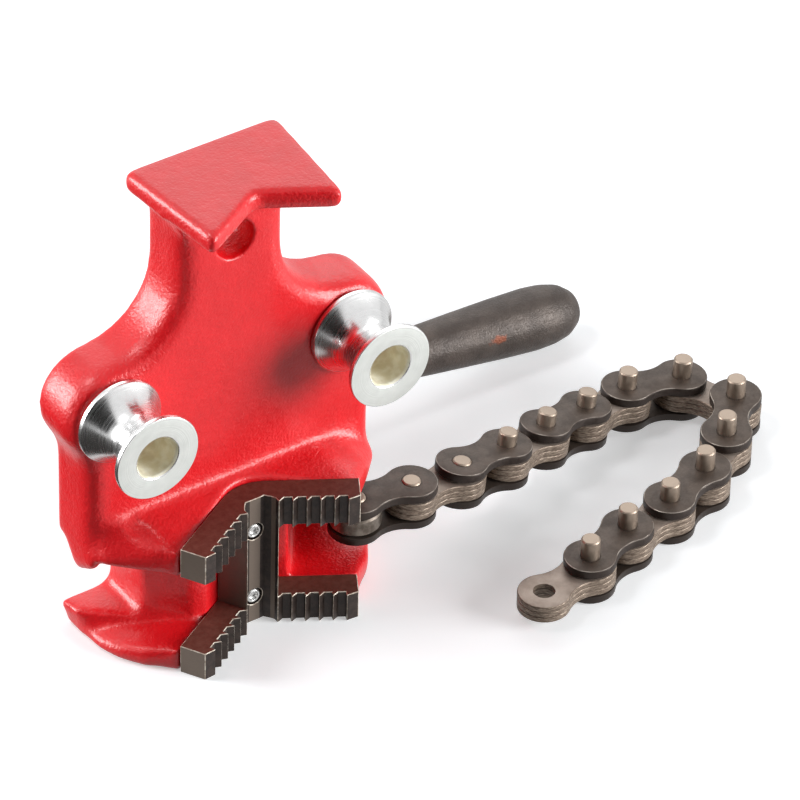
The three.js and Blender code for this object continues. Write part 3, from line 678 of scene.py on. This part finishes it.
waist = new_finish("polished_zinc")
waist_along = waist.node("SeparateXYZ", {}, {"Vector": waist.place()}, output="Y")
waist_marks = waist.node(
    "TexNoise", {"noise_dimensions": "1D"}, {"W": waist_along, "Scale": 1500.0, "Detail": 3.0}
)
waist_surface = waist.surface(
    {
        "Base Color": waist.blend(waist.noise(0.002, 3.0), (0.68, 0.68, 0.68), (0.80, 0.80, 0.80)),
        "Metallic": 1.0,
        "Roughness": waist.fade(waist_marks, 0.3, 0.7, 0.2, 0.3),
        "Normal": waist.bump(waist_marks, 0.000006),
    }
)

bore = new_finish("oily_bore")
bore_stain = bore.fade(bore.noise(0.003, 3.0), 0.35, 0.65)
bore_surface = bore.surface(
    {
        "Base Color": bore.blend(bore_stain, (0.80, 0.75, 0.56), (0.95, 0.92, 0.78)),
        "Metallic": 0.1,
        "Roughness": bore.fade(bore_stain, 0, 1, 0.3, 0.42),
    }
)

for side in ("left", "right"):
    low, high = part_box(f"spool_{side}")
    spool = turned(f"turned_spool_{side}", spool_outline(), spool_turning_steps)
    spool.location = ((low.x + high.x) / 2, 0, (low.z + high.z) / 2)
    for finish in (waist_surface, facing_surface, bore_surface):
        spool.data.materials.append(finish)
    for face in spool.data.polygons:
        radius = math.hypot(face.center.x, face.center.z)
        if radius < spool_bore + spool_chamfer / 2:
            face.material_index = bore_slot
        elif abs(face.normal.y) > spool_flat_cosine and face.center.y < -spool_length / 2:
            face.material_index = facing_slot
        else:
            face.material_index = waist_slot
    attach(spool, "base")
    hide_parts(f"spool_{side}")


# Draw screw: a steel bar with a rolled trapezoidal thread behind, and a forged flat eye in front
# that carries the first pin of the chain. The thread's lead is what the handle and screw are coupled by.
screw_radius = 0.0056
screw_thread_depth = 0.0007
screw_lead = 0.0018143
screw_ring_steps = 40
screw_rings_per_lead = 8
screw_thread_front = 0.0045
screw_plain_end = 0.0012
screw_root_share, screw_flank_slope = 2.2, 6.0
eye_half_thick = 0.0028
eye_radius = 0.008
eye_neck_reach = 0.0136
eye_neck_taper = 0.37
eye_edge = 0.0006
eye_sharp_angle = math.radians(40)
eye_hole_radius = 0.0034
eye_steps = 40

screw_low, screw_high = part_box("draw_screw")
screw_x, screw_z = (screw_low.x + screw_high.x) / 2, (screw_low.z + screw_high.z) / 2
eye_y = screw_low.y + eye_radius


def threaded_bar(name, start, end):
    """A bar along y whose radius follows a thread between its plain ends."""
    rings = int((end - start) / screw_lead * screw_rings_per_lead)
    points, faces = [(0, start, 0)], []
    for i in range(rings + 1):
        y = start + (end - start) * i / rings
        plain = min(y - start, end - y) < screw_plain_end
        for k in range(screw_ring_steps):
            turn = k / screw_ring_steps
            phase = ((y - start) / screw_lead - turn) % 1
            notch = min(1.0, max(0.0, screw_root_share - abs(phase - 0.5) * screw_flank_slope))
            radius = screw_radius - screw_thread_depth * (1 if plain else notch)
            angle = 2 * math.pi * turn
            points.append((radius * math.cos(angle), y, radius * math.sin(angle)))
    points.append((0, end, 0))
    for k in range(screw_ring_steps):
        following = (k + 1) % screw_ring_steps
        faces.append((0, 1 + following, 1 + k))
        for i in range(rings):
            a = 1 + i * screw_ring_steps
            faces.append((a + k, a + following, a + screw_ring_steps + following, a + screw_ring_steps + k))
        last = 1 + rings * screw_ring_steps
        faces.append((last + k, last + following, len(points) - 1))
    mesh = bpy.data.meshes.new(name)
    mesh.from_pydata(points, [], faces)
    for face in mesh.polygons:
        face.use_smooth = True
    return put_in_scene(name, mesh)


def flat_ring(name, outline, hole, half_thick, edge):
    """A flat plate round a hole, with the same number of points in its outline and hole, and rounded rims."""
    count = len(outline)
    middle = sum((Vector(p) for p in outline), Vector((0, 0))) / count
    layers = []
    rims = ((edge, -half_thick), (0, edge - half_thick), (0, half_thick - edge), (edge, half_thick))
    for shrink, z in rims:
        layers.append([(p + (middle - p).normalized() * shrink, z) for p in map(Vector, outline)])
    for z in (half_thick, -half_thick):
        layers.append([(Vector(p), z) for p in hole])
    points = [(*p, z) for layer in layers for p, z in layer]
    faces = []
    for i in range(len(layers)):
        for k in range(count):
            a, b = i * count, (i + 1) % len(layers) * count
            faces.append((a + k, a + (k + 1) % count, b + (k + 1) % count, b + k))
    mesh = bpy.data.meshes.new(name)
    mesh.from_pydata(points, [], faces)
    shape = bmesh.new()
    shape.from_mesh(mesh)
    bmesh.ops.recalc_face_normals(shape, faces=shape.faces)
    shape.to_mesh(mesh)
    shape.free()
    return put_in_scene(name, mesh)


screw_steel = new_finish("machined_steel")
screw_stain = screw_steel.fade(screw_steel.noise(0.003, 4.0, 0.6), 0.35, 0.65)
screw_grain = screw_steel.noise(0.0006, 2.0)
screw_surface = screw_steel.surface(
    {
        "Base Color": screw_steel.blend(screw_stain, (0.11, 0.088, 0.070), (0.22, 0.185, 0.155)),
        "Metallic": 0.8,
        "Roughness": screw_steel.fade(screw_grain, 0.3, 0.7, 0.3, 0.46),
        "Normal": screw_steel.bump(screw_grain, 0.00002),
    }
)

bar = threaded_bar("threaded_bar", screw_thread_front - screw_radius, screw_high.y)
bar.location = (screw_x, 0, screw_z)
bar.data.materials.append(screw_surface)

eye_outline, eye_hole = [], []
for i in range(eye_steps):
    angle = 2 * math.pi * i / eye_steps
    across, along = math.cos(angle), math.sin(angle)
    reach = eye_radius + (eye_neck_reach - eye_radius) * max(0, along) ** 2
    eye_outline.append((eye_radius * across * (1 - eye_neck_taper * max(0, along) ** 2), reach * along))
    eye_hole.append((eye_hole_radius * across, eye_hole_radius * along))
eye = flat_ring("screw_eye", eye_outline, eye_hole, eye_half_thick, eye_edge)
eye.location = (screw_x, eye_y, screw_z)
eye.data.materials.append(screw_surface)
for face in eye.data.polygons:
    face.use_smooth = True
eye.data.set_sharp_from_angle(angle=eye_sharp_angle)
for part in (bar, eye):
    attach(part, "screw")
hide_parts("draw_screw")


# Thrust washer: stamped from steel sheet, with its edges broken. It lies between the base and the hub
# of the handle nut.
washer_bore = 0.0062
washer_edge = 0.0004
washer_low, washer_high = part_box("thrust_washer")
washer_outer = (washer_high.x - washer_low.x) / 2
washer_middle = (washer_low.y + washer_high.y) / 2
washer = turned(
    "stamped_washer",
    rounded(
        [
            (washer_bore, washer_middle),
            (washer_bore, washer_low.y),
            (washer_outer, washer_low.y),
            (washer_outer, washer_high.y),
            (washer_bore, washer_high.y),
            (washer_bore, washer_middle),
        ],
        washer_edge,
    ),
)
washer.location = ((washer_low.x + washer_high.x) / 2, 0, (washer_low.z + washer_high.z) / 2)
washer.data.materials.append(screw_surface)
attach(washer, "base")
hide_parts("thrust_washer")


# Handle nut: one iron casting, a long tapped hub with a drop-shaped lever, left uncoated and oiled.
# Its skin is sandy, and a rusty scuff shows on the lever where the oil is rubbed off.
handle_grid = 0.0007
handle_wear_rounds = 9
scuff_place = Vector((0.129, 0.046, 0.0155))
scuff_length = 0.0052
scuff_height = 0.0018
scuff_grain, scuff_raggedness = 0.002, 1.6
scuff_outer, scuff_inner = 1.75, 1.2
scuff_size = (1 / scuff_length, 1 / scuff_height, 1 / scuff_height)

handle = welded_copy("handle_nut", "cast_handle")
worn_round(handle, handle_grid, handle_wear_rounds)

iron = new_finish("bare_cast_iron")
iron_skin = iron.noise(0.0007, 3.0, 0.65)
iron_cloud = iron.fade(iron.noise(0.008, 4.0, 0.6), 0.3, 0.7)
iron_sheen = iron.blend(iron_cloud, (0.046, 0.034, 0.028), (0.088, 0.069, 0.058))
scuff_offset = iron.node("VectorMath", {"operation": "SUBTRACT"}, {0: iron.place(), 1: scuff_place})
scuff_away = iron.node("VectorMath", {"operation": "MULTIPLY"}, {0: scuff_offset, 1: scuff_size})
scuff_reach = iron.node("VectorMath", {"operation": "LENGTH"}, {0: scuff_away}, output="Value")
scuff_ragged = iron.noise(scuff_grain, 3.0) * scuff_raggedness
scuff_mask = iron.fade(scuff_reach + scuff_ragged, scuff_outer, scuff_inner)
handle.data.materials.append(
    iron.surface(
        {
            "Base Color": iron.blend(scuff_mask, iron_sheen, (0.20, 0.052, 0.020)),
            "Metallic": 0.3,
            "Roughness": iron.fade(iron_skin, 0.3, 0.7, 0.36, 0.52),
            "Normal": iron.bump(iron_skin, 0.00022),
        }
    )
)
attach(handle, "handle")
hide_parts("handle_nut")


# Leaf chain: stamped waisted plates on plain pins, three thin leaves between two thick outer plates.
# Outer plates are tumbled and blackened. Leaves keep the torn edge of the die, and the pins are bare steel.
chain_pitch = 0.01905
link_end_radius = 0.0081
link_waist_half = 0.0056
outer_thick = 0.0026
pack_thick = 0.0056
side_gap = 0.00075
leaf_count = 3
leaf_gap = 0.00022
pin_radius = 0.00295
pin_chamfer = 0.00045
pin_edge = 0.00012
pin_steps = 40
plate_rim_share = 0.3
plate_sharp_angle = math.radians(50)
flat_slot, rim_slot, side_slot = range(3)
hole_radius = 0.0031
pack_hole_radius = 0.0034
link_end_steps = 26
link_waist_steps = 10
plate_inside = pack_thick / 2 + side_gap


def link_outline(inset=0.0):
    """Outline of a waisted plate in its own frame: first pin at the origin, second one pitch along x."""
    end, waist_half, half = link_end_radius - inset, link_waist_half - inset, chain_pitch / 2
    sweep = (half**2 + waist_half**2 - end**2) / (2 * (end - waist_half))
    lean = math.atan2(waist_half + sweep, half)

    def arc(x, y, radius, start, stop, steps):
        angles = (start + (stop - start) * i / steps for i in range(steps + 1))
        return [(x + radius * math.cos(a), y + radius * math.sin(a)) for a in angles]

    return [
        *arc(chain_pitch, 0, end, lean - math.pi, math.pi - lean, link_end_steps),
        *arc(half, waist_half + sweep, sweep, -lean, lean - math.pi, link_waist_steps)[1:-1],
        *arc(0, 0, end, lean, 2 * math.pi - lean, link_end_steps),
        *arc(half, -waist_half - sweep, sweep, math.pi - lean, lean, link_waist_steps)[1:-1],
    ]


def add_plate(shape, bottom, top, hole, edge):
    """Adds one stamped plate with two holes. Its upper rim is rounded over that edge, in two faces."""
    turn = edge * plate_rim_share
    levels = [(0.0, bottom), (0.0, top - edge), (turn, top - turn), (edge, top)]
    outlines = [[shape.verts.new((x, y, z)) for x, y in link_outline(shrink)] for shrink, z in levels]
    holes = [
        [
            [
                shape.verts.new((x + hole * math.cos(a), hole * math.sin(a), z))
                for a in (2 * math.pi * i / link_end_steps for i in range(link_end_steps))
            ]
            for x in (0.0, chain_pitch)
        ]
        for z in (bottom, top)
    ]
    count = len(outlines[0])
    for level, (lower, upper) in enumerate(zip(outlines, outlines[1:])):
        for i in range(count):
            face = shape.faces.new((lower[i], lower[(i + 1) % count], upper[(i + 1) % count], upper[i]))
            face.material_index = rim_slot if level == 2 else side_slot
            face.smooth = True
    for lower, upper in zip(*holes):
        for i in range(link_end_steps):
            following = (i + 1) % link_end_steps
            face = shape.faces.new((upper[i], upper[following], lower[following], lower[i]))
            face.material_index = side_slot
            face.smooth = True
    for rim, rings in ((outlines[0], holes[0]), (outlines[-1], holes[1])):
        edges = []
        for ring in (rim, *rings):
            for i, vert in enumerate(ring):
                following = ring[(i + 1) % len(ring)]
                edges.append(shape.edges.get((vert, following)) or shape.edges.new((vert, following)))
        filled = bmesh.ops.triangle_fill(shape, edges=edges, use_beauty=True)
        for face in filled["geom"]:
            if isinstance(face, bmesh.types.BMFace):
                face.material_index = flat_slot


def plate_mesh(name, layers, hole, edge):
    shape = bmesh.new()
    for bottom, top in layers:
        add_plate(shape, bottom, top, hole, edge)
    bmesh.ops.recalc_face_normals(shape, faces=shape.faces)
    mesh = bpy.data.meshes.new(name)
    shape.to_mesh(mesh)
    shape.free()
    mesh.set_sharp_from_angle(angle=plate_sharp_angle)
    return mesh


black_plate = new_finish("tumbled_plate")
tumble_marks = black_plate.noise(0.0007, 4.0, 0.65)
tumble_cloud = black_plate.fade(black_plate.noise(0.005, 3.0), 0.3, 0.7)
black_plate_surface = black_plate.surface(
    {
        "Base Color": black_plate.blend(tumble_cloud, (0.055, 0.040, 0.031), (0.095, 0.072, 0.058)),
        "Metallic": 0.5,
        "Roughness": black_plate.fade(tumble_marks, 0.3, 0.7, 0.4, 0.56),
        "Normal": black_plate.bump(tumble_marks, 0.00004),
    }
)

plate_rim = new_finish("rubbed_plate_rim")
rim_rub = plate_rim.fade(plate_rim.noise(0.004, 3.0), 0.35, 0.7)
plate_rim_surface = plate_rim.surface(
    {
        "Base Color": plate_rim.blend(rim_rub, (0.12, 0.095, 0.080), (0.36, 0.32, 0.28)),
        "Metallic": 0.85,
        "Roughness": plate_rim.fade(rim_rub, 0, 1, 0.42, 0.28),
    }
)

sheared = new_finish("sheared_plate_side")
shear_marks = sheared.noise(0.001, 3.0, 0.6)
sheared_surface = sheared.surface(
    {
        "Base Color": sheared.blend(shear_marks, (0.020, 0.013, 0.010), (0.045, 0.032, 0.026)),
        "Metallic": 0.5,
        "Roughness": sheared.fade(shear_marks, 0.3, 0.7, 0.35, 0.55),
        "Normal": sheared.bump(shear_marks, 0.00005),
    }
)

raw_leaf = new_finish("bare_leaf")
leaf_sand = raw_leaf.noise(0.0006, 3.0, 0.65)
leaf_cloud = raw_leaf.fade(raw_leaf.noise(0.006, 3.0), 0.3, 0.7)
raw_leaf_surface = raw_leaf.surface(
    {
        "Base Color": raw_leaf.blend(leaf_cloud, (0.25, 0.195, 0.160), (0.36, 0.295, 0.25)),
        "Metallic": 0.55,
        "Roughness": raw_leaf.fade(leaf_sand, 0.3, 0.7, 0.4, 0.56),
        "Normal": raw_leaf.bump(leaf_sand, 0.00004),
    }
)

torn_leaf = new_finish("torn_leaf_edge")
torn_place = torn_leaf.node("Mapping", {}, {"Vector": torn_leaf.place(), "Scale": (1, 1, 7)})
torn_grain = torn_leaf.noise(0.0016, 4.0, 0.65, at=torn_place)
torn_bright = torn_leaf.fade(torn_grain, 0.4, 0.64)
torn_leaf_surface = torn_leaf.surface(
    {
        "Base Color": torn_leaf.blend(torn_bright, (0.12, 0.083, 0.060), (0.34, 0.27, 0.21)),
        "Metallic": 0.4,
        "Roughness": torn_leaf.fade(torn_grain, 0.3, 0.7, 0.5, 0.36),
        "Normal": torn_leaf.bump(torn_grain, 0.00006),
    }
)

pin_steel = new_finish("bare_pin")
pin_marks = pin_steel.noise(0.0014, 3.0, 0.6)
pin_surface = pin_steel.surface(
    {
        "Base Color": pin_steel.blend(pin_marks, (0.27, 0.21, 0.165), (0.38, 0.31, 0.25)),
        "Metallic": 0.85,
        "Roughness": pin_steel.fade(pin_marks, 0.3, 0.7, 0.36, 0.46),
        "Normal": pin_steel.bump(pin_marks, 0.00002),
    }
)

plate_edge = 0.00035
leaf_edge = 0.00028
leaf_thick = (pack_thick - (leaf_count - 1) * leaf_gap) / leaf_count
leaf_bottoms = [-pack_thick / 2 + i * (leaf_thick + leaf_gap) for i in range(leaf_count)]
outer_mesh = plate_mesh("outer_plate", [(0.0, outer_thick)], hole_radius, plate_edge)
pack_mesh = plate_mesh("leaf_pack", [(z, z + leaf_thick) for z in leaf_bottoms], pack_hole_radius, leaf_edge)
for finish in (black_plate_surface, plate_rim_surface, sheared_surface):
    outer_mesh.materials.append(finish)
for finish in (raw_leaf_surface, torn_leaf_surface, torn_leaf_surface):
    pack_mesh.materials.append(finish)


def box_middle(nodes):
    corners = [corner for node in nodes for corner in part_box(node)]
    return sum(corners, Vector()) / len(corners)


def dress(name, mesh, matrix, body, node):
    made = put_in_scene(name, mesh.copy())
    made.data.transform(matrix)
    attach(made, body)
    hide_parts(node)
    return made


# Links hang on the record's own hinges: each starts at its hinge and points at the middle of its plates.
chain_hinges = [joint for joint in frame["joints"] if joint["name"].startswith("chain_pin")]
flip = Matrix.Rotation(math.pi, 4, "X")
stand = Matrix.Rotation(math.pi / 2, 4, "X")
outer_up = None
for hinge in chain_hinges:
    body = hinge["child"]
    start = Vector(hinge["pos_m"])
    is_outer = body.startswith("outer")
    plates = [f"{body}_top_plate", f"{body}_bottom_plate"] if is_outer else [f"{body}_leaf_pack"]
    along = (box_middle(plates) - start).normalized()
    up = Vector(hinge["axis"])
    up *= 1 if up.z > 0 else -1
    if is_outer:
        outer_up = up
    elif hinge is not chain_hinges[-1]:
        up = outer_up
    across = up.cross(along).normalized()
    up = along.cross(across).normalized()
    lie = Matrix((along, across, up)).transposed().to_4x4()
    lie.translation = start
    if not is_outer:
        dress(f"{body}_leaves", pack_mesh, lie, body, plates[0])
        continue
    top = lie @ Matrix.Translation((0, 0, plate_inside))
    bottom = lie @ Matrix.Translation((0, 0, -plate_inside)) @ flip
    dress(f"{body}_upper", outer_mesh, top, body, plates[0])
    dress(f"{body}_lower", outer_mesh, bottom, body, plates[1])
    for end, shift in (("near", 0.0), ("far", chain_pitch)):
        node = f"{body}_{end}_pin"
        foot = start + along * shift
        heights = [(v.co - foot).dot(up) for v in frame["nodes"][node].data.vertices]
        tall, deep = max(heights), min(heights)
        pin_outline = rounded(
            [
                (0, tall),
                (pin_radius - pin_chamfer, tall),
                (pin_radius, tall - pin_chamfer),
                (pin_radius, deep),
                (0, deep),
            ],
            pin_edge,
        )
        pin = turned(f"{body}_{end}_steel_pin", pin_outline, pin_steps)
        pin.data.transform(lie @ Matrix.Translation((shift, 0, 0)) @ stand)
        pin.data.materials.append(pin_surface)
        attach(pin, body)
        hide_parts(node)
